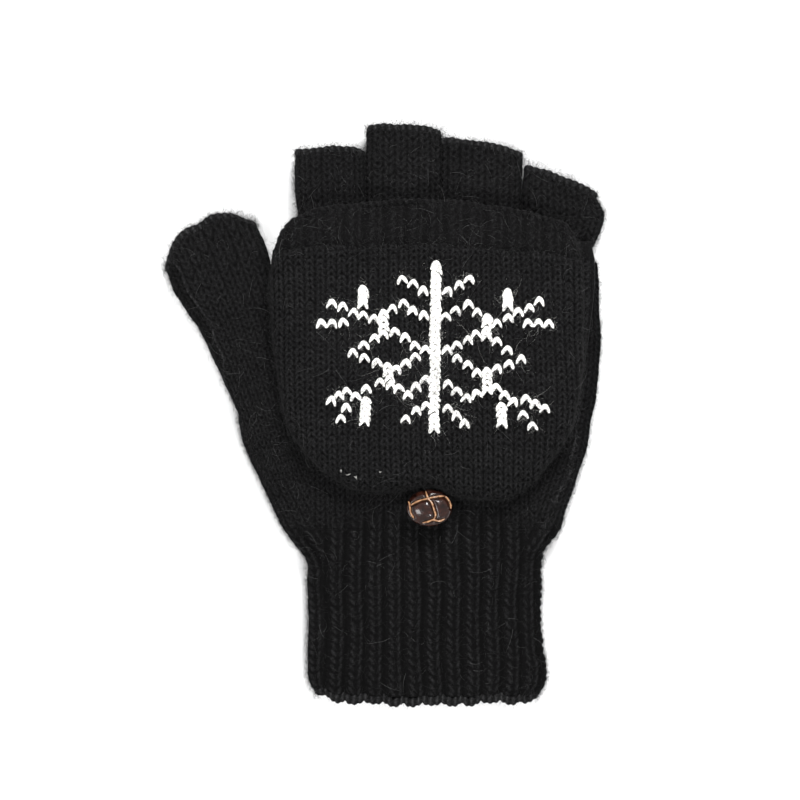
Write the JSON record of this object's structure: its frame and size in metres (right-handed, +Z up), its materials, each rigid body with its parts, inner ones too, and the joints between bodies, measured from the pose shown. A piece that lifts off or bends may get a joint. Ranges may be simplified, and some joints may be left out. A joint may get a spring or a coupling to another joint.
{
  "type": "convertible flip-top mitten",
  "caption": "Black knitted fingerless glove for the right hand with a flip-over mitten cap, ribbed cuff, snowflake motif and a button loop closure.",
  "frame": {"origin": "on the surface that the mitten lies on, under the centre of its bounding box", "axes": "+Y from the cuff to the fingertips, +Z up out of the back of the hand, +X from the thumb to the little finger"},
  "size_m": [0.1457, 0.193, 0.0187],
  "materials": {
    "black_wool": "knitted, matt, slightly hairy",
    "bound_edge": "cast-off knit edge, matt",
    "white_yarn": "wool yarn, matt",
    "button_brown": "polished dark brown",
    "button_strap": "worn tan edges",
    "elastic_cord": "braided elastic"
  },
  "bodies": {
    "hand": {"cuff_rib": "black_wool", "cuff_edge": "bound_edge", "hand_shell": "black_wool", "thumb_tube": "black_wool", "thumb_edge": "bound_edge", "index_finger": "black_wool", "index_edge": "bound_edge", "middle_finger": "black_wool", "middle_edge": "bound_edge", "ring_finger": "black_wool", "ring_edge": "bound_edge", "little_finger": "black_wool", "little_edge": "bound_edge", "cap_seam": "bound_edge", "button_thread": "bound_edge"},
    "cap_back": {"cap_back_layer": "black_wool", "cap_side_wall": "black_wool", "cap_side_gusset": "black_wool", "button_loop": "elastic_cord"},
    "cap_front": {"cap_front_layer": "black_wool", "cap_hem_rib": "black_wool", "snowflake": "white_yarn"},
    "button": {"button_shank": "button_brown", "button_dome": "button_brown", "button_straps": "button_strap"}
  },
  "joints": [
    {"name": "cap_flip", "type": "hinge", "parent": "hand", "child": "cap_back", "pos_m": [0.01675, 0.0592, 0.0106], "axis": [-0.9991, 0.0421, 0], "range_deg": [0, 179], "deforming": ["cap_front_layer", "cap_hem_rib", "snowflake", "cap_side_gusset", "button_loop"]},
    {"name": "cap_mouth", "type": "hinge", "parent": "cap_back", "child": "cap_front", "pos_m": [0.0145, -0.0277, 0.0137], "axis": [0.9991, -0.0421, 0], "range_deg": [0, 8.3]},
    {"name": "button_turn", "type": "hinge", "parent": "hand", "child": "button", "pos_m": [0.0145, -0.0307, 0.0142], "axis": [0, 0, 1], "range_deg": [-20, 20], "stiffness_Nm_per_rad": 0.0002}
  ],
  "couplings": [
    {"joint": "cap_mouth", "follows": "cap_flip", "ratio": 0.04581}
  ]
}
